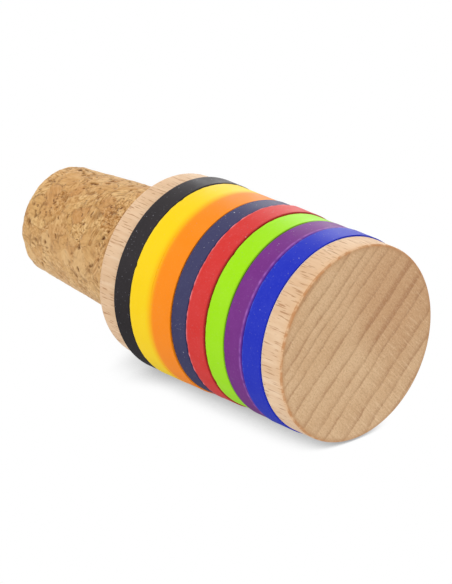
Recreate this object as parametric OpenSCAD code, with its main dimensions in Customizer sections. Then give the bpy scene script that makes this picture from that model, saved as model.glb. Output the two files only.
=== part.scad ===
// Bottle stopper: a turned beech spool with a tapered cork glued into one end
// and eight silicone marker rings stretched into the recess round its middle.
// It stands on the flat end of the head, so z = 0 is that face and the cork points up.

/* [Head] */
// Diameter of the head
head_d = 30; // [28:0.5:40]
// Length of the head, from its end face to the first ring
head_len = 4.3; // [2.5:0.1:12]
// Rounding of the head's end edge
head_edge_r = 0.45; // [0.1:0.05:1]
// Rounding of the head's ring-side edge
head_ring_edge_r = 0.15; // [0.05:0.05:0.6]

/* [Flange beside the cork] */
// How far the flange's side lies inside the head's
flange_inset = 0.6; // [0:0.05:1]
// Length of the flange
flange_len = 4.4; // [2.5:0.1:12]
// Rounding of the flange's ring-side edge
flange_edge_r = 0.15; // [0.05:0.05:0.6]
// Rounding of the flange's cork-side edge
flange_end_r = 0.7; // [0.1:0.05:1]

/* [Recess] */
// Depth of the recess that the rings sit in, below the head's side
recess_depth = 2; // [1.5:0.1:3.5]
// Fillet where the core meets the head and the flange
core_fillet_r = 0.3; // [0.1:0.05:0.5]

/* [Silicone rings] */
// How far the rings stand proud of the head's side
ring_proud = 0.3; // [0:0.05:1]
// Rounding of a ring's outer edges
ring_edge_r = 0.2; // [0.05:0.05:0.6]
// Width of the blue ring
blue_w = 3.9; // [2.5:0.1:8]
// Width of the purple ring
purple_w = 4; // [2.5:0.1:8]
// Width of the lime green ring
lime_w = 4.1; // [2.5:0.1:8]
// Width of the red ring
red_w = 3.9; // [2.5:0.1:8]
// Width of the navy ring
navy_w = 3.4; // [2.5:0.1:8]
// Width of the orange ring
orange_w = 4.5; // [2.5:0.1:8]
// Width of the yellow ring
yellow_w = 4.4; // [2.5:0.1:8]
// Width of the black ring
black_w = 3.6; // [2.5:0.1:8]

/* [Cork] */
// Length of the cork that shows
cork_len = 25.6; // [15:0.1:35]
// Diameter of the cork at the flange
cork_base_d = 21.5; // [18:0.1:24]
// Diameter of the cork at its tip, before the rounding
cork_tip_d = 17.1; // [12:0.1:18]
// Rounding of the tip's edge
cork_tip_r = 1.4; // [0.3:0.1:4]
// Bevel of the edge that meets the flange
cork_base_bevel = 0.25; // [0.1:0.05:0.8]

/* [Glued joint] */
// Diameter of the cork's shank in the socket
shank_d = 16; // [8:0.5:17]
// Length of the shank
shank_len = 10; // [4:0.5:20]
// Bevel of the shank's end
shank_bevel = 0.8; // [0.2:0.1:2]

/* [Clearances] */
// Gap between the core and a ring's bore
ring_bore_gap = 0.05; // [0.02:0.01:0.2]
// Gap between neighbouring rings, and between the end rings and the wood
ring_side_gap = 0.04; // [0.02:0.01:0.2]
// Glue film round the shank
glue_gap = 0.05; // [0.02:0.01:0.2]
// Room for spare glue at the bottom of the socket
glue_room = 0.6; // [0.2:0.1:2]

/* [Hidden] */
$fn = 96;
// How far a cut runs past the surface that it opens
overcut = 1;

beech = [0.91, 0.79, 0.66];
pressed_cork = [0.80, 0.61, 0.38];

// The rings from the head to the cork: node name, width, colour
RINGS = [
    ["ring_blue", blue_w, [0.17, 0.25, 0.75]],
    ["ring_purple", purple_w, [0.48, 0.24, 0.54]],
    ["ring_lime", lime_w, [0.63, 0.89, 0.18]],
    ["ring_red", red_w, [0.84, 0.27, 0.26]],
    ["ring_navy", navy_w, [0.29, 0.29, 0.41]],
    ["ring_orange", orange_w, [1.00, 0.57, 0.18]],
    ["ring_yellow", yellow_w, [1.00, 0.84, 0.18]],
    ["ring_black", black_w, [0.23, 0.21, 0.22]],
];

head_r = head_d / 2;
flange_r = head_r - flange_inset;
core_r = head_r - recess_depth;
ring_r = head_r + ring_proud;
ring_bore_r = core_r + ring_bore_gap;
// The bore's edges clear the core's fillets
ring_bore_edge_r = core_fillet_r;

// Bottom of ring number i, counted from the head
function ring_z(i) =
    i == 0 ? head_len + ring_side_gap : ring_z(i - 1) + RINGS[i - 1][1] + ring_side_gap;

flange_z = ring_z(len(RINGS));
body_len = flange_z + flange_len;

// What a rounded corner removes, about the rounding's centre, towards +X and +Y
module corner_waste(r) {
    difference() {
        square(r + overcut);
        circle(r);
    }
}

// What a fillet adds in an inside corner at the origin, towards +X and +Y
module corner_fill(r) {
    difference() {
        square(r);
        translate([r, r])
            circle(r);
    }
}

// Half section of a disc that stands on the X axis, with its two rims rounded
module disc_section(r, height, low_edge_r, high_edge_r) {
    difference() {
        square([r, height]);
        translate([r - low_edge_r, low_edge_r])
            mirror([0, 1])
                corner_waste(low_edge_r);
        translate([r - high_edge_r, height - high_edge_r])
            corner_waste(high_edge_r);
    }
}

module spool_section() {
    disc_section(head_r, head_len, head_edge_r, head_ring_edge_r);
    square([core_r, body_len - flange_len / 2]);
    translate([0, flange_z])
        disc_section(flange_r, flange_len, flange_edge_r, flange_end_r);
    translate([core_r, head_len])
        corner_fill(core_fillet_r);
    translate([core_r, flange_z])
        mirror([0, 1])
            corner_fill(core_fillet_r);
}

module body() {
    socket_depth = shank_len + glue_room;
    color(beech)
        difference() {
            rotate_extrude()
                spool_section();
            translate([0, 0, body_len - socket_depth])
                cylinder(d = shank_d + 2 * glue_gap, h = socket_depth + overcut);
        }
}

// Half section of the plug above the flange: a taper whose tip is rounded by an arc
module plug_section() {
    base_r = cork_base_d / 2;
    tip_r = cork_tip_d / 2;
    taper = atan((base_r - tip_r) / cork_len);
    arc_z = cork_len - cork_tip_r;
    side_r = base_r - arc_z * tan(taper);
    arc_x = side_r - cork_tip_r / cos(taper);
    bevel_side_r = base_r - cork_base_bevel * tan(taper);
    polygon([
        [0, 0],
        [base_r - cork_base_bevel, 0],
        [bevel_side_r, cork_base_bevel],
        [arc_x + cork_tip_r * cos(taper), arc_z + cork_tip_r * sin(taper)],
        [arc_x, cork_len],
        [0, cork_len],
    ]);
    translate([arc_x, arc_z])
        circle(cork_tip_r);
}

module cork() {
    color(pressed_cork)
        translate([0, 0, body_len])
            union() {
                rotate_extrude()
                    plug_section();
                translate([0, 0, shank_bevel - shank_len])
                    cylinder(d = shank_d, h = shank_len - shank_bevel + cork_base_bevel);
                translate([0, 0, -shank_len])
                    cylinder(d1 = shank_d - 2 * shank_bevel, d2 = shank_d, h = shank_bevel);
            }
}

// Half section of a ring of the given width, standing on the X axis
module ring_section(width) {
    difference() {
        translate([ring_bore_r, 0])
            square([ring_r - ring_bore_r, width]);
        for (side = [0, 1])
            translate([0, side * width])
                mirror([0, side]) {
                    translate([ring_r - ring_edge_r, ring_edge_r])
                        mirror([0, 1])
                            corner_waste(ring_edge_r);
                    translate([ring_bore_r + ring_bore_edge_r, ring_bore_edge_r])
                        rotate(180)
                            corner_waste(ring_bore_edge_r);
                }
    }
}

module marker_ring(i) {
    color(RINGS[i][2])
        translate([0, 0, ring_z(i)])
            rotate_extrude()
                ring_section(RINGS[i][1]);
}

body();
cork();
for (i = [0:len(RINGS) - 1])
    marker_ring(i);
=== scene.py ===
"""The looks of a wooden bottle stopper: beech spool, pressed cork and eight silicone rings.

The stopper stands on its head in the row frame. The photograph shows it lying on a table,
so the camera and the table are turned instead: the photograph's up is the row's -Y.
"""
import math
from collections import namedtuple

import bpy
import numpy as np
from mathutils import Matrix, Vector, noise


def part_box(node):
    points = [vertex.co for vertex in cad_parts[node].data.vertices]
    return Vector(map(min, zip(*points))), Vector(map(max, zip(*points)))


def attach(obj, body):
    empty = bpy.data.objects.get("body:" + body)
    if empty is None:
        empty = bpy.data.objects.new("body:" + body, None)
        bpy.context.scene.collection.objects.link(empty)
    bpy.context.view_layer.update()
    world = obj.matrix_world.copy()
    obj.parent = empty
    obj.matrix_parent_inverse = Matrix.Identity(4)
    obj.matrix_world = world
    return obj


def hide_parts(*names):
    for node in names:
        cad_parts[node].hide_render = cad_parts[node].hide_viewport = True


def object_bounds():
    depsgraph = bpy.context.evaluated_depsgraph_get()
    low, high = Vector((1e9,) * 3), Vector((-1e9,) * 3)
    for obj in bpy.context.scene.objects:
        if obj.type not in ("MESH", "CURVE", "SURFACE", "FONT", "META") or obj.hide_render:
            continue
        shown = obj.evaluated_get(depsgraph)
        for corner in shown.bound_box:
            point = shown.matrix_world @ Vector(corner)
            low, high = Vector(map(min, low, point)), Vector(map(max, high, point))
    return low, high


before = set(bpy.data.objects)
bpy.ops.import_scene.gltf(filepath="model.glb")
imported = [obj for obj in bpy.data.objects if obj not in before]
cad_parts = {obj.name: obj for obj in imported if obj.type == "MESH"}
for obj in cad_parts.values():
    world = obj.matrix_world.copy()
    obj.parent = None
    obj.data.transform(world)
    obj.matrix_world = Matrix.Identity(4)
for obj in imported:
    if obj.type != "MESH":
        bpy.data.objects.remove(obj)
cad_low, cad_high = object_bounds()

MM = 0.001

# Sizes from the frame, in millimetres
body_low, body_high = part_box("body")
cork_low, cork_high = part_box("cork")
HEAD_R = body_high.x / MM
BODY_LEN = body_high.z / MM
CORK_BASE_R = cork_high.x / MM
CORK_BOTTOM = cork_low.z / MM
CORK_TOP = cork_high.z / MM
RING_R = cad_high.x / MM
HEAD_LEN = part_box("ring_blue")[0].z / MM

# Cork details that the frame's boxes don't give, in millimetres
CORK_TIP_R = 8.55
CORK_TIP_ROUNDING = 1.4
CORK_BASE_BEVEL = 0.25
SHANK_R = 8.0
SHANK_BEVEL = 0.8
RING_BORE_R = 13.05
RING_BORE_EDGE = 0.3


def linear(red, green, blue):
    """Scene colour from the 0 to 255 values of a display colour."""
    out = []
    for value in (red, green, blue):
        v = value / 255
        out.append(v / 12.92 if v <= 0.04045 else ((v + 0.055) / 1.055) ** 2.4)
    return (*out, 1.0)


# Camera: the photograph's view of the lying stopper

HEADING = math.radians(41.98)      # turn of the stopper's axis to the left of the line of sight
ELEVATION = math.radians(22.65)    # height of the camera over the table
HEAD_AHEAD = 628.14                # from the camera to the head's centre along the line of sight
HEAD_RIGHT = 18.99                 # the head's centre lies right of the line of sight
HEAD_BELOW = 7.54                  # and below it
LENS = 268.4
SENSOR = 36.0

UP = Vector((0, -1, 0))
RIGHT = Vector((math.cos(HEADING), 0, -math.sin(HEADING)))
AHEAD = Vector((math.sin(HEADING), 0, math.cos(HEADING)))


def make_camera():
    sight = AHEAD * math.cos(ELEVATION) - UP * math.sin(ELEVATION)
    camera_up = UP * math.cos(ELEVATION) + AHEAD * math.sin(ELEVATION)
    data = bpy.data.cameras.new("camera")
    data.lens = LENS
    data.sensor_width = SENSOR
    data.clip_start = 0.01
    data.clip_end = 20
    camera = bpy.data.objects.new("camera", data)
    camera.location = MM * (HEAD_BELOW * camera_up - HEAD_RIGHT * RIGHT - HEAD_AHEAD * sight)
    turn = Matrix((RIGHT, camera_up, -sight)).transposed()
    camera.rotation_euler = turn.to_euler()
    bpy.context.scene.collection.objects.link(camera)
    bpy.context.scene.camera = camera


# Shader graphs

class Graph:
    """One material's node tree, built by calls that take sockets or plain values."""

    def __init__(self, name):
        self.material = bpy.data.materials.new(name)
        self.material.use_nodes = True
        self.tree = self.material.node_tree
        self.tree.nodes.clear()

    def add(self, kind, values=None, **settings):
        node = self.tree.nodes.new("ShaderNode" + kind)
        for key, value in settings.items():
            setattr(node, key, value)
        for key, value in (values or {}).items():
            if isinstance(value, bpy.types.NodeSocket):
                self.tree.links.new(value, node.inputs[key])
            else:
                node.inputs[key].default_value = value
        return node

    def math(self, operation, a, b=0.0, c=0.0, clamp=False):
        return self.add("Math", {0: a, 1: b, 2: c}, operation=operation, use_clamp=clamp).outputs[0]

    def mix(self, factor, a, b, blend="MIX"):
        node = self.add("Mix", data_type="RGBA", blend_type=blend)
        for socket, value in ((node.inputs[0], factor), (node.inputs[6], a), (node.inputs[7], b)):
            if isinstance(value, bpy.types.NodeSocket):
                self.tree.links.new(value, socket)
            else:
                socket.default_value = value
        return node.outputs[2]

    def between(self, value, low, high, to_low=0.0, to_high=1.0):
        """value mapped from low..high to to_low..to_high, clamped, with soft ends."""
        return self.add(
            "MapRange",
            {"Value": value, 1: low, 2: high, 3: to_low, 4: to_high},
            interpolation_type="SMOOTHSTEP",
        ).outputs[0]

    def band(self, value, start, full, level, end):
        """1 between full and level, falling to 0 at start and end."""
        return self.math("MULTIPLY", self.between(value, start, full), self.between(value, end, level))

    def noise(self, vector, scale, detail=2.0, roughness=0.5, distortion=0.0, output=0):
        values = {"Vector": vector, "Scale": scale, "Detail": detail, "Roughness": roughness}
        return self.add("TexNoise", {**values, "Distortion": distortion}).outputs[output]

    def cells(self, vector, scale, feature="F1", output="Distance", randomness=1.0):
        values = {"Vector": vector, "Scale": scale, "Randomness": randomness}
        return self.add("TexVoronoi", values, feature=feature).outputs[output]

    def ramp(self, factor, stops):
        node = self.add("ValToRGB", {"Fac": factor})
        ramp = node.color_ramp
        while len(ramp.elements) < len(stops):
            ramp.elements.new(1.0)
        for element, (place, color) in zip(ramp.elements, stops):
            element.position = place
            element.color = color
        return node.outputs[0]

    def place(self, scale=(1, 1, 1), turn=(0, 0, 0)):
        """Object coordinates in millimetres, turned and then scaled."""
        where = self.add("TexCoord").outputs["Object"]
        turned = self.add("Mapping", {"Vector": where, "Rotation": turn}).outputs[0]
        size = tuple(s / MM for s in scale)
        return self.add("Mapping", {"Vector": turned, "Scale": size}).outputs[0]

    def bump(self, height, distance, strength=1.0, normal=None):
        values = {"Height": height, "Distance": distance * MM, "Strength": strength}
        if normal is not None:
            values["Normal"] = normal
        return self.add("Bump", values).outputs[0]

    def finish(self, **values):
        shader = self.add("BsdfPrincipled", values)
        output = self.add("OutputMaterial")
        self.tree.links.new(shader.outputs[0], output.inputs[0])
        return self.material


# Table, backdrop, lamps and world

TABLE_HALF = 1.5
CONTACT_GLOW = 0.14    # light of the white sheets where the object covers the whole sky
TABLE_OPEN = 0.33      # the table is fully white from this open share of the sky on
FLANGE_SHADE = 0.14    # and beside the flange from this much more
FLOOR_OPEN = 0.82      # the floor of the standing stopper
TABLE_LEANS = ((0.0, 0.0, 0.40), (0.0, 0.0, -0.40))    # towards either end of the lying stopper
FLOOR_LEANS = ((0.0, 0.0, 0.0),)


def sheet_material(name, open_share, flange_shade, leans):
    """White with a soft contact shadow painted into its glow, and clear from behind.

    The open share of the sky is the least that a normal leaning each of some ways sees.
    """
    graph = Graph(name)
    normal = graph.add("NewGeometry").outputs["Normal"]
    sky = 1.0
    for lean in leans:
        leaning = graph.add("VectorMath", {0: normal, 1: lean}, operation="ADD").outputs[0]
        leaning = graph.add("VectorMath", {0: leaning}, operation="NORMALIZE").outputs[0]
        node = graph.add("AmbientOcclusion", {"Distance": 1.0, "Normal": leaning}, samples=32)
        sky = graph.math("MINIMUM", sky, node.outputs["AO"])
    place = graph.add("NewGeometry").outputs["Position"]
    height = graph.add("SeparateXYZ", {0: place}).outputs[2]
    # The painted shadow is wider beside the flange end, where a band raises the share needed for full white
    flange = graph.band(height, *(MM * (BODY_LEN + step) for step in (-10.0, -1.0, 2.0, 8.0)))
    full_from = graph.math("MULTIPLY_ADD", flange, flange_shade, open_share)
    glow = graph.between(sky, -0.05, full_from, CONTACT_GLOW, 1.0)
    white = graph.add("Emission", {"Color": (1, 1, 1, 1), "Strength": glow})
    clear = graph.add("BsdfTransparent")
    back = graph.add("NewGeometry").outputs["Backfacing"]
    choice = graph.add("MixShader", {0: back})
    graph.tree.links.new(white.outputs[0], choice.inputs[1])
    graph.tree.links.new(clear.outputs[0], choice.inputs[2])
    output = graph.add("OutputMaterial")
    graph.tree.links.new(choice.outputs[0], output.inputs[0])
    return graph.material


def make_plane(name, centre, across, along, material):
    """A square sheet seen from the side of across x along only. It sends no light to the object."""
    corners = [centre + TABLE_HALF * (a * across + b * along)
               for a, b in ((-1, -1), (1, -1), (1, 1), (-1, 1))]
    mesh = bpy.data.meshes.new(name)
    mesh.from_pydata(corners, [], [(0, 1, 2, 3)])
    mesh.materials.append(material)
    sheet = bpy.data.objects.new(name, mesh)
    bpy.context.scene.collection.objects.link(sheet)
    sheet.visible_diffuse = False
    sheet.visible_shadow = False
    sheet.visible_glossy = False
    sheet.visible_transmission = False


def make_stage():
    x_axis, y_axis, z_axis = Vector((1, 0, 0)), Vector((0, 1, 0)), Vector((0, 0, 1))
    # The table of the photograph touches the rings' side, and its front faces -Y
    table = sheet_material("table_white", TABLE_OPEN, FLANGE_SHADE, TABLE_LEANS)
    make_plane("table", y_axis * cad_high.y, x_axis, z_axis, table)
    # The floor under the standing stopper shows from above only
    floor = sheet_material("floor_white", FLOOR_OPEN, 0.0, FLOOR_LEANS)
    make_plane("standing_floor", z_axis * cad_low.z, x_axis, y_axis, floor)


Lamp = namedtuple("Lamp", "name right up ahead size power")
LAMPS = (
    Lamp("lamp_over", 0.10, 0.85, 0.25, 0.70, 2.2),
    Lamp("lamp_left", -0.75, 0.35, -0.35, 0.60, 2.0),
    Lamp("lamp_front", 0.45, 0.25, -0.95, 0.60, 2.15),
    Lamp("lamp_back", 0.20, 0.30, 0.95, 0.60, 2.6),
)
SKY_LIGHT = 0.57        # soft light from the photograph's up, and from the table below
TABLE_LIGHT = 0.89
SKY_GLOSS = 0.80        # the same two as glossy surfaces see them: the table is in shadow there
TABLE_GLOSS = 0.12


def make_lamps():
    target = Vector((0, 0, (cad_low.z + cad_high.z) / 2))
    for lamp in LAMPS:
        data = bpy.data.lights.new(lamp.name, "AREA")
        data.shape = "DISK"
        data.size = lamp.size
        data.energy = lamp.power
        body = bpy.data.objects.new(lamp.name, data)
        body.location = target + lamp.right * RIGHT + lamp.up * UP + lamp.ahead * AHEAD
        body.rotation_euler = (target - body.location).to_track_quat("-Z", "Y").to_euler()
        body.visible_camera = False
        bpy.context.scene.collection.objects.link(body)


def make_world():
    """White where the camera looks, and a soft light from all round otherwise."""
    world = bpy.data.worlds.new("white_room")
    world.use_nodes = True
    tree = world.node_tree
    tree.nodes.clear()
    path = tree.nodes.new("ShaderNodeLightPath")
    way = tree.nodes.new("ShaderNodeTexCoord")
    parts = tree.nodes.new("ShaderNodeSeparateXYZ")
    tree.links.new(way.outputs["Generated"], parts.inputs[0])
    lights = []
    for above, below in ((SKY_LIGHT, TABLE_LIGHT), (SKY_GLOSS, TABLE_GLOSS), (1.0, 1.0)):
        light = tree.nodes.new("ShaderNodeMapRange")
        for socket, value in zip(light.inputs[1:5], (-1.0, 1.0, above, below)):
            socket.default_value = value
        tree.links.new(parts.outputs[1], light.inputs[0])
        lights.append(light.outputs[0])
    strength = lights[0]
    for ray, light in (("Is Glossy Ray", lights[1]), ("Is Camera Ray", lights[2])):
        choice = tree.nodes.new("ShaderNodeMix")
        tree.links.new(path.outputs[ray], choice.inputs[0])
        tree.links.new(strength, choice.inputs[2])
        tree.links.new(light, choice.inputs[3])
        strength = choice.outputs[0]
    background = tree.nodes.new("ShaderNodeBackground")
    output = tree.nodes.new("ShaderNodeOutputWorld")
    background.inputs["Color"].default_value = (1, 1, 1, 1)
    tree.links.new(strength, background.inputs["Strength"])
    tree.links.new(background.outputs[0], output.inputs[0])
    bpy.context.scene.world = world


# Beech

GRAIN_TURN = math.radians(-47)     # brings the row's X to the direction across the growth rings
# Dark late-wood lines across the grain, in millimetres from the axis
GROWTH_LINES = (-14.6, -12.1, -9.6, -8.0, -6.1, -3.3, -0.1, 2.9, 5.0, 8.6, 11.5, 14.2)
GROWTH_SPAN = 16.0
LINE_END = 0.30                    # each line ends this soon, in millimetres


def growth_stops():
    """Stops of a ramp across the grain that climbs to 1 at each line and falls back just after it."""
    stops = []
    for line in GROWTH_LINES:
        for place, level in ((line + LINE_END, 1.0), (line + 2 * LINE_END, 0.0)):
            stops.append(((place + GROWTH_SPAN) / (2 * GROWTH_SPAN), (level, level, level, 1)))
    return stops


def grain_place(graph, across=1.0, along=1.0, length=1.0):
    """Millimetres across the growth rings, along them and along the stopper, scaled."""
    return graph.place((across, along, length), (0, 0, GRAIN_TURN))


def growth_rings(graph, axes):
    """0 in the early wood and 1 in the dark late-wood lines."""
    wave = graph.noise(grain_place(graph, 0.10, 0.16, 0.02), 1.0, 1.0)
    ripple = graph.noise(grain_place(graph, 0.5, 0.9, 0.1), 1.0, 3.0, 0.6)
    shift = graph.math("MULTIPLY_ADD", ripple, 0.55, -0.275)
    shift = graph.math("ADD", shift, graph.math("MULTIPLY_ADD", wave, 1.0, -0.5))
    across = graph.math("ADD", axes.outputs[0], shift)
    phase = graph.ramp(graph.math("MULTIPLY_ADD", across, 0.5 / GROWTH_SPAN, 0.5), growth_stops())
    slow = graph.math("MULTIPLY", graph.math("POWER", phase, 1.6), 0.50)
    sharp = graph.between(phase, 0.72, 1.0, 0.0, 0.50)
    late = graph.math("ADD", slow, sharp)
    uneven = graph.noise(grain_place(graph, 0.22, 0.22, 0.1), 1.0, 3.0, 0.6)
    return graph.math("MULTIPLY", late, graph.between(uneven, 0.32, 0.68, 0.50, 1.20))


def beech_material():
    graph = Graph("beech")
    axes = graph.add("SeparateXYZ", {0: grain_place(graph)})
    across, along, height = axes.outputs
    late = growth_rings(graph, axes)
    flat = graph.add("CombineXYZ", {0: across, 1: along}).outputs[0]
    radius = graph.add("VectorMath", {0: flat}, operation="LENGTH").outputs["Value"]

    tone = graph.noise(grain_place(graph, 0.16, 0.10, 0.03), 1.0, 3.0, 0.55)
    # Vessels: fine specks on the end grain, hairlines on the sides
    speck = graph.noise(grain_place(graph, 3.4, 3.4, 0.5), 1.0, 3.0, 0.7)
    streak = graph.noise(grain_place(graph, 1.4, 1.4, 0.08), 1.0, 3.0, 0.6)
    # Medullary rays: dark dashes on the sides, dots on the end grain
    dash = graph.noise(grain_place(graph, 4.6, 4.6, 0.42), 1.0, 1.0, 0.35)
    dash = graph.between(dash, 0.59, 0.67)
    dash_tone = graph.between(graph.noise(grain_place(graph, 1.0, 1.0, 0.5), 1.0, 1.0), 0.3, 0.6, 0.35, 1.0)
    dash = graph.math("MULTIPLY", dash, dash_tone)
    # Pale rays across the growth rings on the end grain, clearest on one side
    ray = graph.noise(grain_place(graph, 0.22, 3.4, 0.2), 1.0, 2.0, 0.5)
    ray = graph.math("SUBTRACT", graph.between(ray, 0.56, 0.66), graph.between(ray, 0.44, 0.34, 0.0, 0.5))
    ray = graph.math("MULTIPLY", ray, graph.between(across, 1.0, 8.0, 0.25, 1.0))
    fibre = graph.noise(grain_place(graph, 0.9, 4.2, 0.3), 1.0, 3.0, 0.6)
    # Warm stains beside two growth lines, and a warmer quarter round them
    stain = graph.math("ADD", graph.band(across, -1.1, -0.5, 0.1, 0.4), graph.band(across, 2.0, 2.6, 3.0, 3.4))
    stain = graph.math("MULTIPLY", stain, graph.between(along, -1.6, -3.2))
    warm = graph.math("MULTIPLY", graph.between(along, 3.0, -8.0), graph.band(across, -14.0, -2.0, 4.0, 16.0))

    normal = graph.add("SeparateXYZ", {0: graph.add("TexCoord").outputs["Normal"]})
    ends = graph.between(graph.math("ABSOLUTE", normal.outputs[2]), 0.60, 0.92)
    rim = graph.between(radius, 14.0, 14.8)
    burnish = graph.between(height, 1.5, 0.2, 0.0, 0.45)
    # The turned edges: warm and uneven round the end face, and a painted highlight along the edge beside the blue ring
    uneven = graph.between(graph.noise(grain_place(graph), 0.9, 3.0, 0.6), 0.38, 0.60, 0.15, 1.0)
    worn = graph.math("MULTIPLY", graph.band(normal.outputs[2], -0.10, -0.40, -0.85, -0.98), uneven)
    painted_edge_highlight = graph.band(height, HEAD_LEN - 0.30, HEAD_LEN - 0.12, HEAD_LEN + 0.1, HEAD_LEN + 0.2)

    side = graph.mix(graph.between(tone, 0.3, 0.7), linear(241, 209, 174), linear(232, 196, 158))
    blotch = graph.noise(grain_place(graph, 0.6, 0.6, 0.22), 1.0, 2.0, 0.5)
    side = graph.mix(graph.between(blotch, 0.46, 0.68, 0.0, 0.42), side, linear(219, 180, 140))
    side = graph.mix(graph.between(streak, 0.45, 0.68, 0.0, 0.32), side, linear(219, 178, 138))
    side = graph.mix(graph.between(streak, 0.48, 0.30, 0.0, 0.34), side, linear(248, 224, 196))
    side = graph.mix(graph.math("MULTIPLY", late, 0.20), side, linear(214, 168, 126))
    side = graph.mix(graph.between(speck, 0.52, 0.75, 0.0, 0.22), side, linear(206, 160, 118))
    side = graph.mix(graph.math("MULTIPLY", dash, 0.72), side, linear(174, 122, 82))
    side = graph.mix(burnish, side, linear(230, 184, 136))
    # Painted highlight: a pale line along the edge next to the blue ring
    side = graph.mix(graph.math("MULTIPLY", painted_edge_highlight, 0.75), side, linear(252, 238, 224))

    end = graph.mix(graph.between(tone, 0.35, 0.68), linear(226, 190, 148), linear(217, 178, 135))
    end = graph.mix(graph.math("MULTIPLY", warm, 0.80), end, linear(204, 158, 115))
    end = graph.mix(graph.math("MULTIPLY", late, 0.72), end, linear(172, 124, 84))
    end = graph.mix(graph.math("MULTIPLY", stain, 0.40), end, linear(166, 112, 72))
    end = graph.mix(graph.between(speck, 0.50, 0.66, 0.0, 0.34), end, linear(178, 134, 94))
    end = graph.mix(graph.between(speck, 0.50, 0.34, 0.0, 0.28), end, linear(236, 206, 168))
    end = graph.mix(graph.between(fibre, 0.50, 0.68, 0.0, 0.18), end, linear(184, 140, 100))
    end = graph.mix(graph.between(fibre, 0.50, 0.32, 0.0, 0.16), end, linear(236, 206, 168))
    end = graph.mix(graph.math("MULTIPLY", ray, 0.36, clamp=True), end, linear(240, 208, 168))
    end = graph.mix(graph.math("MULTIPLY", ray, -0.36, clamp=True), end, linear(170, 124, 86))
    end = graph.mix(graph.math("MULTIPLY", dash, 0.30), end, linear(160, 116, 80))
    end = graph.mix(graph.math("MULTIPLY", rim, 0.50), end, linear(188, 140, 96))

    color = graph.mix(ends, side, end)
    color = graph.mix(graph.math("MULTIPLY", worn, 0.85), color, linear(196, 136, 86))
    relief = graph.math("ADD", graph.math("MULTIPLY", speck, -0.5), graph.math("MULTIPLY", dash, -0.6))
    rough = graph.between(speck, 0.3, 0.7, 0.60, 0.74)
    bump = graph.bump(relief, 0.03, 0.6)
    return graph.finish(**{
        "Base Color": color,
        "Roughness": rough,
        "Normal": bump,
        "Specular IOR Level": 0.20,
        "Sheen Weight": 0.12,
        "Sheen Roughness": 0.40,
    })


# Silicone

def specks(graph, place, scale, share, smallest, largest):
    """Dust: 1 in a share of the cells of a pattern, each speck with its own size and strength."""
    size = graph.cells(place, scale)
    chance = graph.add("SeparateColor", {0: graph.cells(place, scale, output="Color")})
    reach = graph.between(chance.outputs[1], 0.0, 1.0, smallest * scale, largest * scale)
    return graph.math(
        "MULTIPLY", graph.math("LESS_THAN", size, reach), graph.between(chance.outputs[0], 1 - share, 1.0)
    )


def silicone_material(name, silicone):
    """Matt silicone: a slow mottle, lip flash with a painted highlight, dust, a fine skin and a hazy gloss."""
    graph = Graph(name)
    place = graph.place()
    mottle = graph.noise(place, 0.35, 3.0, 0.6)
    fine = graph.noise(place, 3.0, 3.0, 0.65)
    color = graph.mix(graph.between(mottle, 0.3, 0.7, 0.0, 0.05), silicone.shade, silicone.haze)
    color = graph.mix(graph.between(fine, 0.50, 0.80, 0.0, 0.16), color, silicone.haze)
    # Painted shade by the groove on one side of the ring, and on yellow and orange a painted colour bleed from the next
    # ring
    stain = graph.add("Attribute", attribute_name="stain").outputs["Fac"]
    color = graph.mix(graph.math("MULTIPLY", stain, 0.85, clamp=True), color, silicone.neighbour)
    # Lip: the real moulding flash, painted paler along it as the highlight it catches
    lip = graph.add("Attribute", attribute_name="lip").outputs["Fac"]
    color = graph.mix(graph.math("MULTIPLY", lip, 0.75, clamp=True), color, silicone.haze)
    # More dust on the side that the photograph shows above
    normal = graph.add("SeparateXYZ", {0: graph.add("TexCoord").outputs["Normal"]})
    settled = graph.between(normal.outputs[1], -0.3, -0.9, silicone.dust, min(1.0, 2.2 * silicone.dust))
    film = specks(graph, place, 2.4, 0.7, 0.04, 0.10)
    dust = specks(graph, place, 0.9, 0.3, 0.04, 0.11)
    film = graph.math("MULTIPLY", graph.math("MULTIPLY", film, settled), 0.6)
    color = graph.mix(film, color, linear(150, 150, 160))
    color = graph.mix(graph.math("MULTIPLY", dust, settled), color, linear(200, 200, 208))
    rough = graph.between(mottle, 0.2, 0.8, 0.46, 0.58)
    bump = graph.bump(fine, 0.012, 0.5)
    # The gloss takes on some of the colour, so that warm rings stay warm in the haze
    gloss = tuple(0.35 + 0.65 * value / max(silicone.haze[:3]) for value in silicone.haze[:3])
    return graph.finish(**{
        "Base Color": color,
        "Roughness": rough,
        "Normal": bump,
        "Specular IOR Level": 0.25,
        "Specular Tint": (*gloss, 1.0),
    })


# Cork

GRANULE = 0.36      # granules for each millimetre
WOBBLE = 0.7        # how far the granules' edges wander, in millimetres
# Large smooth granules: angle round the stopper in degrees, height, half width round it, half length
PaleGranule = namedtuple("PaleGranule", "angle height across along")
PALE_GRANULES = (
    PaleGranule(184, 59.5, 1.5, 1.4),
    PaleGranule(179, 54.2, 1.2, 1.2),
    PaleGranule(177, 50.8, 2.8, 1.6),
    PaleGranule(271, 56.0, 1.3, 1.1),
)
# Chips in the tip's edge: angle, height, reach and depth
CorkChip = namedtuple("CorkChip", "angle height reach depth")
CORK_CHIPS = (CorkChip(166, 65.2, 0.7, 0.30), CorkChip(248, 65.4, 0.6, 0.20), CorkChip(291, 61.0, 0.5, 0.16))


def cork_spot(angle, height):
    """The point of the cork's turned side at an angle in degrees and a height."""
    share = (height - BODY_LEN) / (CORK_TOP - BODY_LEN)
    radius = CORK_BASE_R + (CORK_TIP_R - CORK_BASE_R) * share
    turn = math.radians(angle)
    return Vector((radius * math.cos(turn), radius * math.sin(turn), height))


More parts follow.
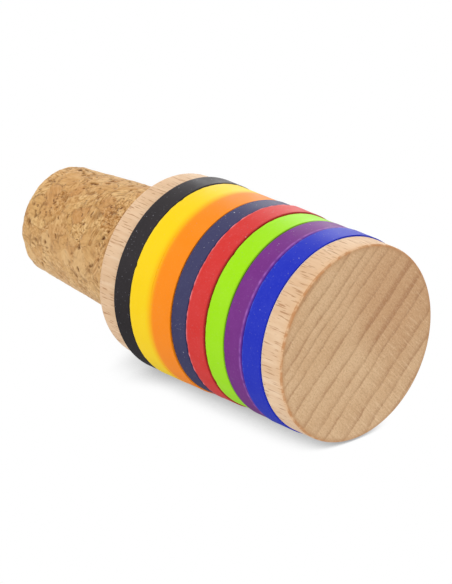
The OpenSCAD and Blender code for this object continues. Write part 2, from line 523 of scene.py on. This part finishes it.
def granule_streaks(graph, place, scale, granule_color, detail=1.5):
    """Streaks that run each granule's own way."""
    way = graph.add("VectorMath", {0: granule_color, 1: (0.5, 0.5, 0.5)}, operation="SUBTRACT").outputs[0]
    way = graph.add("VectorMath", {0: way}, operation="NORMALIZE").outputs[0]
    reach = graph.add("VectorMath", {0: place, 1: way}, operation="DOT_PRODUCT").outputs["Value"]
    reach = graph.math("MULTIPLY", reach, 0.86)
    part = graph.add("VectorMath", {0: way, "Scale": reach}, operation="SCALE").outputs[0]
    squeezed = graph.add("VectorMath", {0: place, 1: part}, operation="SUBTRACT").outputs[0]
    return graph.noise(squeezed, scale, detail, 0.55)


def cork_material():
    graph = Graph("pressed_cork")
    plain = graph.place()
    wobble = graph.noise(plain, 1.3, 3.0, output=1)
    wobble = graph.add("VectorMath", {0: wobble, "Scale": WOBBLE}, operation="SCALE").outputs[0]
    place = graph.add("VectorMath", {0: plain, 1: wobble}, operation="ADD").outputs[0]
    granule = graph.cells(place, GRANULE, output="Color")
    parts = graph.add("SeparateColor", {0: granule})
    streak = granule_streaks(graph, plain, 2.0, granule)
    fine = granule_streaks(graph, plain, 4.2, granule)
    crumbs = graph.add("SeparateColor", {0: graph.cells(place, 1.1, output="Color")}).outputs[0]
    tone = graph.noise(plain, 0.16, 2.0)
    smooth = graph.between(parts.outputs[2], 0.25, 0.70, 0.30, 1.0)     # how rough each granule is

    color = graph.mix(parts.outputs[0], linear(234, 193, 131), linear(204, 153, 90))
    color = graph.mix(graph.between(parts.outputs[1], 0.60, 0.85, 0.0, 0.55), color, linear(190, 130, 74))
    color = graph.mix(graph.between(tone, 0.40, 0.62, 0.0, 0.35), color, linear(206, 150, 92))
    color = graph.mix(graph.between(crumbs, 0.1, 0.95, 0.0, 0.35), color, linear(198, 142, 84))
    for grain, light, dark in ((streak, 0.45, 0.70), (fine, 0.30, 0.50)):
        hollow = graph.math("MULTIPLY", graph.between(grain, 0.50, 0.66, 0.0, dark), smooth)
        crest = graph.math("MULTIPLY", graph.between(grain, 0.50, 0.34, 0.0, light), smooth)
        color = graph.mix(hollow, color, linear(150, 98, 42))
        color = graph.mix(crest, color, linear(245, 209, 154))

    # Calmer on the +Y side, below in the camera's view, and painted paler there: painted light lifting that side
    side = graph.add("SeparateXYZ", {0: plain}).outputs[1]
    calm_and_painted_light = graph.between(side, -5.0, 0.5)
    # Painted light: the +Y side mixed towards a paler tone
    color = graph.mix(graph.math("MULTIPLY", calm_and_painted_light, 0.28), color, linear(226, 186, 134))
    for pale in PALE_GRANULES:
        centre = cork_spot(pale.angle, pale.height) + Vector((1, 1, 1)) * WOBBLE / 2
        apart = graph.add("VectorMath", {0: place, 1: centre}, operation="SUBTRACT").outputs[0]
        size = (1 / pale.across, 1 / pale.across, 1 / pale.along)
        apart = graph.add("VectorMath", {0: apart, 1: size}, operation="MULTIPLY").outputs[0]
        apart = graph.add("VectorMath", {0: apart}, operation="LENGTH").outputs["Value"]
        color = graph.mix(graph.between(apart, 1.06, 0.94, 0.0, 0.62), color, linear(229, 188, 132))
        calm_and_painted_light = graph.math("MAXIMUM", calm_and_painted_light, graph.between(apart, 1.0, 0.8, 0.0, 1.5))

    # Gaps between granules and short dark strokes, gathered in patches
    patchy = graph.between(graph.noise(plain, 0.22, 2.0, 0.5), 0.36, 0.62, 0.20, 1.0)
    patchy = graph.math("MULTIPLY", patchy, graph.math("MULTIPLY_ADD", calm_and_painted_light, -0.6, 1.0, clamp=True))
    broken = graph.between(graph.noise(plain, 0.9, 4.0, 0.7), 0.50, 0.58)
    seam = graph.cells(place, GRANULE, feature="DISTANCE_TO_EDGE")
    seam = graph.math("MULTIPLY", graph.between(seam, 0.00, 0.10, 0.6, 0.0), broken)
    stroke = graph.between(granule_streaks(graph, plain, 1.5, granule), 0.58, 0.66)
    stroke = graph.math("MULTIPLY", stroke, graph.between(graph.noise(plain, 1.1, 2.0), 0.50, 0.58))
    dark = graph.math("MULTIPLY", graph.math("MAXIMUM", seam, stroke), patchy)
    color = graph.mix(graph.math("MULTIPLY", dark, 0.80), color, linear(112, 60, 20))
    pit = graph.add("Attribute", attribute_name="pit").outputs["Fac"]
    color = graph.mix(graph.math("MULTIPLY", pit, 0.75, clamp=True), color, linear(100, 54, 18))

    relief = graph.math("MULTIPLY", graph.math("MULTIPLY", streak, smooth), -0.8)
    relief = graph.math("SUBTRACT", relief, graph.math("MULTIPLY", dark, 1.2))
    bump = graph.bump(relief, 0.10, 0.8)
    return graph.finish(**{
        "Base Color": color,
        "Roughness": 0.85,
        "Normal": bump,
        "Specular IOR Level": 0.15,
        "Sheen Weight": 0.52,
        "Sheen Roughness": 0.35,
        "Sheen Tint": linear(255, 236, 206),
    })


# Turned pieces

def lathe(name, rows, closed, shape=None):
    """A mesh round +Z from rows of (x, y, z) points, in millimetres, one row for each ring of points.

    A row of one point closes an end. closed joins the last row to the first.
    """
    points, starts = [], []
    for row in rows:
        starts.append((len(points), len(row)))
        points.extend(row)
    faces = []
    pairs = list(zip(starts, starts[1:]))
    if closed:
        pairs.append((starts[-1], starts[0]))
    for (low, low_count), (high, high_count) in pairs:
        count = max(low_count, high_count)
        for i in range(count):
            j = (i + 1) % count
            if low_count == 1:
                faces.append((low, high + j, high + i))
            elif high_count == 1:
                faces.append((low + i, low + j, high))
            else:
                faces.append((low + i, low + j, high + j, high + i))
    mesh = bpy.data.meshes.new(name)
    mesh.from_pydata([Vector(p) * MM for p in points], [], faces)
    mesh.polygons.foreach_set("use_smooth", [True] * len(faces))
    mesh.update()
    piece = bpy.data.objects.new(name, mesh)
    bpy.context.scene.collection.objects.link(piece)
    return piece


def arc(centre_r, centre_z, radius, start, end, steps):
    """Profile points (r, z) on an arc, with its ends left in."""
    out = []
    for k in range(steps + 1):
        a = math.radians(start + (end - start) * k / steps)
        out.append((centre_r + radius * math.cos(a), centre_z + radius * math.sin(a)))
    return out


def line(start, end, steps):
    """Profile points (r, z) from start to end, with start left out."""
    return [
        (start[0] + (end[0] - start[0]) * k / steps, start[1] + (end[1] - start[1]) * k / steps)
        for k in range(1, steps + 1)
    ]


CORK_SEGMENTS = 400
CORK_STEP = 0.16
PIT_DEPTH = 0.22


def cork_profile():
    """(r, z, shown) along the plug from the shank's end to the tip's centre, z from the flange."""
    top = CORK_TOP - BODY_LEN
    bottom = CORK_BOTTOM - BODY_LEN
    taper = math.atan((CORK_BASE_R - CORK_TIP_R) / top)
    arc_z = top - CORK_TIP_ROUNDING
    arc_r = CORK_BASE_R - arc_z * math.tan(taper) - CORK_TIP_ROUNDING / math.cos(taper)
    hidden = [(SHANK_R - SHANK_BEVEL, bottom), (SHANK_R, bottom + SHANK_BEVEL), (SHANK_R, 0.0)]
    bevel_end = (CORK_BASE_R - CORK_BASE_BEVEL * math.tan(taper), CORK_BASE_BEVEL)
    rounding = arc(arc_r, arc_z, CORK_TIP_ROUNDING, math.degrees(taper), 90, 12)
    side_steps = round((arc_z - CORK_BASE_BEVEL) / CORK_STEP)
    tip_steps = round(arc_r / CORK_STEP)
    shown = [(CORK_BASE_R - CORK_BASE_BEVEL, 0.0), bevel_end]
    shown += line(bevel_end, rounding[0], side_steps)
    shown += rounding[1:]
    shown += line(rounding[-1], (0.0, top), tip_steps)
    return [(r, z, False) for r, z in hidden] + [(r, z, True) for r, z in shown]


def cork_depth(point):
    """How deep the cork's surface lies under its turned form at a point, and how much of it is a pit."""
    spot = Vector(point)
    wide = noise.noise(spot * 0.30 + Vector((7, 1, 4)))
    grain = noise.fractal(spot * 0.9, 1.0, 2.0, 2)
    bent = spot * GRANULE + 0.35 * noise.noise_vector(spot * 0.9)
    distances, places = noise.voronoi(bent)
    step = 0.5 + 0.5 * noise.noise(places[0] * 9.0)
    seam = max(0.0, 1 - (distances[1] - distances[0]) / 0.14)
    worn = min(1.0, max(0.0, noise.noise(spot * 0.5 + Vector((3, 9, 2))) * 2.5))
    holes = (noise.noise(spot * 1.3 + Vector((11, 5, 8))) - 0.36) / 0.14
    patch = min(1.0, max(0.0, 0.5 + 2.0 * noise.noise(spot * 0.25 + Vector((2, 6, 1)))))
    holes = min(1.0, max(0.0, holes)) * patch
    depth = 0.07 - 0.06 * wide - 0.07 * grain + 0.08 * step + 0.12 * seam * worn + PIT_DEPTH * holes
    for chip in CORK_CHIPS:
        apart = (spot - cork_spot(chip.angle, chip.height)).length
        depth += chip.depth * math.exp(-(apart / chip.reach) ** 2)
    return max(0.0, depth), min(1.0, holes + 0.6 * seam * worn)


def make_cork(material):
    angles = [2 * math.pi * i / CORK_SEGMENTS for i in range(CORK_SEGMENTS)]
    profile = cork_profile()
    top = CORK_TOP - BODY_LEN
    rows, pits = [[(0.0, 0.0, CORK_BOTTOM)]], [0.0]
    for index, (r, z, shown) in enumerate(profile):
        before = profile[max(index - 1, 0)]
        after = profile[min(index + 1, len(profile) - 1)]
        along_r, along_z = after[0] - before[0], after[1] - before[1]
        length = math.hypot(along_r, along_z) or 1.0
        out_r, out_z = along_z / length, -along_r / length
        if r == 0.0:
            depth, pit = cork_depth((0, 0, BODY_LEN + z))
            rows.append([(0.0, 0.0, BODY_LEN + top - depth)])
            pits.append(pit)
            continue
        row = []
        for a in angles:
            x, y = r * math.cos(a), r * math.sin(a)
            depth, pit = cork_depth((x, y, BODY_LEN + z)) if shown and z > 0 else (0.0, 0.0)
            fade = min(1.0, z / 0.6) if z > 0 else 0.0
            depth *= fade
            row.append((x - depth * out_r * math.cos(a), y - depth * out_r * math.sin(a), BODY_LEN + z - depth * out_z))
            pits.append(pit * fade)
        rows.append(row)
    piece = lathe("cork_plug", rows, closed=False)
    piece.data.attributes.new("pit", "FLOAT", "POINT").data.foreach_set("value", pits)
    piece.data.materials.append(material)
    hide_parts("cork")
    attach(piece, "root")


# Rings

# rounding: of the edge; lip: height of the moulding flash; lip_at: its distance from the edge;
# gap: how far the ring's side draws back from its neighbour there
Edge = namedtuple("Edge", "rounding lip lip_at gap")
# radius: mean outer radius; lean: how far the ring sits off centre, towards LEAN_AT;
# low and high: the edges nearer the head and nearer the cork
# nicks: where the high edge is nicked, in degrees round the stopper
Ring = namedtuple("Ring", "node radius lean low high nicks")
RINGS = (
    Ring("ring_blue", 15.16, 0.00, Edge(0.10, 0.00, 0.0, 0.00), Edge(0.14, 0.05, 0.0, 0.05), (40, 282)),
    Ring("ring_purple", 15.02, 0.00, Edge(0.14, 0.08, 0.45, 0.03), Edge(0.20, 0.00, 0.0, 0.06), (175.7, 60)),
    Ring("ring_lime", 14.92, -0.06, Edge(0.22, 0.00, 0.0, 0.06), Edge(0.16, 0.04, 0.0, 0.02), (150, 231, 330)),
    Ring("ring_red", 15.08, -0.06, Edge(0.20, 0.00, 0.0, 0.05), Edge(0.12, 0.12, 0.0, 0.02), (171, 221, 231, 143, 20)),
    Ring("ring_navy", 15.02, 0.02, Edge(0.20, 0.00, 0.0, 0.04), Edge(0.22, 0.00, 0.0, 0.08), (95, 310)),
    Ring("ring_orange", 15.06, 0.18, Edge(0.12, 0.00, 0.0, 0.03), Edge(0.02, 0.00, 0.0, -0.03), ()),
    Ring("ring_yellow", 15.06, 0.20, Edge(0.02, 0.00, 0.0, 0.00), Edge(0.12, 0.05, 0.0, 0.00), (204, 251, 30)),
    Ring("ring_black", 15.08, 0.12, Edge(0.20, 0.00, 0.0, 0.04), Edge(0.18, 0.00, 0.0, 0.02), (110, 345)),
)
LIME, ORANGE = linear(162, 232, 6), linear(255, 141, 16)
# haze: the paler tone of mottle and of the lip flash's painted highlight; neighbour: the tone painted on one side
# of the ring as far as reach, in millimetres (the low side, or the high side where reach is negative): painted
# shade by the groove where darker, painted colour bleed from the next ring on yellow and orange; dust: how much the
# specks show
Silicone = namedtuple("Silicone", "shade haze neighbour reach dust")
SILICONES = {
    "ring_blue": Silicone(linear(28, 46, 190), linear(104, 118, 224), linear(28, 46, 190), 0.2, 0.30),
    "ring_purple": Silicone(linear(118, 45, 131), linear(176, 108, 196), linear(70, 26, 150), 0.4, 0.30),
    "ring_lime": Silicone(LIME, linear(205, 242, 110), linear(110, 160, 20), 0.2, 0.15),
    "ring_red": Silicone(linear(216, 50, 45), linear(238, 140, 146), linear(160, 30, 30), 0.2, 0.22),
    "ring_navy": Silicone(linear(60, 59, 96), linear(112, 118, 154), linear(44, 44, 86), 0.2, 0.60),
    "ring_orange": Silicone(ORANGE, linear(255, 176, 92), linear(255, 192, 8), -0.50, 0.15),
    "ring_yellow": Silicone(linear(255, 215, 10), linear(255, 228, 96), linear(255, 188, 8), 0.6, 0.10),
    "ring_black": Silicone(linear(40, 36, 37), linear(88, 84, 90), linear(40, 36, 37), 0.2, 0.60),
}
LEAN_AT = math.radians(122)
RING_SEGMENTS = 480
FACE_STEPS = 26
LIP_REACH = 0.16        # how far a lip reaches from its middle
# The lip's paler colour is a painted highlight
LIP_FULL = 0.06         # a lip of this height looks fully pale
SIDE_DEPTH = 1.0        # how deep a drawn-back side begins


def waves(generator, angles, lowest, highest):
    """A smooth closed wave between -1 and 1 round the ring, from seeded random phases."""
    total = np.zeros_like(angles)
    for k in range(lowest, highest + 1):
        total += generator.normal() * np.cos(k * angles + generator.uniform(0, 2 * math.pi))
    return total / np.abs(total).max()


def ring_profile(ring, width, radius):
    """Closed profile of a ring: (r, z, outerness) from the bore's low edge outwards and back."""
    low, high, bore = ring.low, ring.high, RING_BORE_EDGE
    low_z, high_z = low.gap, width - high.gap
    out = [(r, z, 0.0) for r, z in arc(RING_BORE_R + bore, bore, bore, 180, 270, 4)]
    out.append((radius - SIDE_DEPTH, 0.0, 0.0))
    out += [(r, z, 1.0) for r, z in arc(radius - low.rounding, low_z + low.rounding, low.rounding, 270, 360, 6)]
    face_low, face_high = (radius, low_z + low.rounding), (radius, high_z - high.rounding)
    out += [(r, z, 1.0) for r, z in line(face_low, face_high, FACE_STEPS)[:-1]]
    out += [(r, z, 1.0) for r, z in arc(radius - high.rounding, high_z - high.rounding, high.rounding, 0, 90, 6)]
    out.append((radius - SIDE_DEPTH, width, 0.0))
    out += [(r, z, 0.0) for r, z in arc(RING_BORE_R + bore, width - bore, bore, 90, 180, 4)]
    return out


def nick_depth(places, angles):
    """Depth of small nicks at some places round the ring, in degrees."""
    depth = np.zeros_like(angles)
    for place in places:
        apart = np.abs((angles - math.radians(place) + math.pi) % (2 * math.pi) - math.pi)
        depth += 0.11 * np.exp(-(apart / 0.025) ** 2)
    return depth


def make_ring(ring, number):
    low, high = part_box(ring.node)
    bottom, width = low.z / MM, (high.z - low.z) / MM
    generator = np.random.default_rng(40 + number)
    angles = np.linspace(0, 2 * math.pi, RING_SEGMENTS, endpoint=False)
    lean = ring.lean * np.cos(angles - LEAN_AT)
    soft = 0.03 * waves(generator, angles, 2, 7)
    low_lip = ring.low.lip * np.clip(0.5 + 0.7 * waves(generator, angles, 8, 90), 0.1, 1.0)
    high_lip = ring.high.lip * np.clip(0.5 + 0.7 * waves(generator, angles, 8, 90), 0.1, 1.0)
    nick = nick_depth(ring.nicks, angles)
    rows, lip_highlights, stains = [], [], []
    for r, z, outer in ring_profile(ring, width, ring.radius):
        from_low, from_high = z - ring.low.gap, width - ring.high.gap - z
        lip = outer * low_lip * math.exp(-((from_low - ring.low.lip_at) / LIP_REACH) ** 2)
        lip += outer * high_lip * math.exp(-((from_high - ring.high.lip_at) / LIP_REACH) ** 2)
        nicked = outer * nick * math.exp(-(from_high / LIP_REACH) ** 2)
        reach = np.minimum(r + outer * (lean + soft) + lip - nicked, RING_R)
        rows.append([
            (float(reach[i] * math.cos(a)), float(reach[i] * math.sin(a)), bottom + z)
            for i, a in enumerate(angles)
        ])
        # The lip's painted highlight, full where a lip is LIP_FULL high
        lip_highlights.extend((lip / LIP_FULL).tolist())
        # Painted shade by the groove, and on yellow and orange painted colour bleed from the next ring, fading from one
        # edge
        shade_and_bleed_reach = SILICONES[ring.node].reach
        from_neighbour = from_low if shade_and_bleed_reach > 0 else from_high
        stain = outer * math.exp(-(from_neighbour / shade_and_bleed_reach) ** 2)
        stains.extend([stain] * RING_SEGMENTS)
    piece = lathe(ring.node + "_band", rows, closed=True)
    piece.data.attributes.new("lip", "FLOAT", "POINT").data.foreach_set("value", lip_highlights)
    piece.data.attributes.new("stain", "FLOAT", "POINT").data.foreach_set("value", stains)
    slot = "silicone_" + ring.node.split("_")[1]
    piece.data.materials.append(silicone_material(slot, SILICONES[ring.node]))
    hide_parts(ring.node)
    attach(piece, "root")


scene = bpy.context.scene
scene.view_settings.view_transform = "Standard"
scene.cycles.use_denoising = True

make_camera()
make_stage()
make_lamps()
make_world()

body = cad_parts["body"]
beech = beech_material()
for body_slot in body.material_slots:
    body_slot.material = beech

make_cork(cork_material())
for number, ring in enumerate(RINGS):
    make_ring(ring, number)
